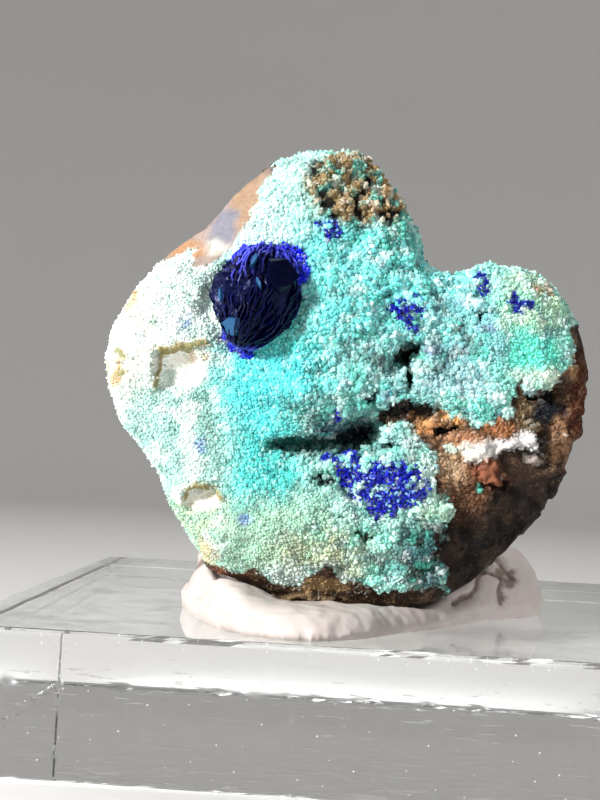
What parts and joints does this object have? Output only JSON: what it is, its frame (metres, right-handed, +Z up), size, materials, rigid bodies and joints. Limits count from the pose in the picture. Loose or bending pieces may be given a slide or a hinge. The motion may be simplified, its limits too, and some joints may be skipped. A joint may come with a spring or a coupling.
{
  "type": "raw azurite specimen on a clear block",
  "caption": "Raw azurite crystals on a crusted brown stone, pressed upright into putty on a clear square block.",
  "frame": {"origin": "middle of the block's underside", "axes": "+Z up out of the block, +X to the right of the stone's crusted face, which looks towards -Y"},
  "size_m": [0.042, 0.042, 0.0355],
  "materials": {
    "clear_acrylic": "clear polished acrylic with fine scratches and dust",
    "putty": "soft white putty, matt, a little grubby",
    "crusted_stone": "sugary pale blue-green crust over rough brown limonite",
    "dark_azurite": "glassy, almost black blue crystal",
    "azurite": "glassy ultramarine crystals"
  },
  "bodies": {
    "root": {"acrylic_block": "clear_acrylic", "putty": "putty", "matrix": "crusted_stone", "azurite_rosette": "dark_azurite", "azurite_patch": "azurite", "azurite_middle": "azurite", "azurite_upper_right": "azurite", "azurite_far_right": "azurite", "azurite_top": "azurite", "azurite_ledge": "azurite"}
  },
  "joints": []
}
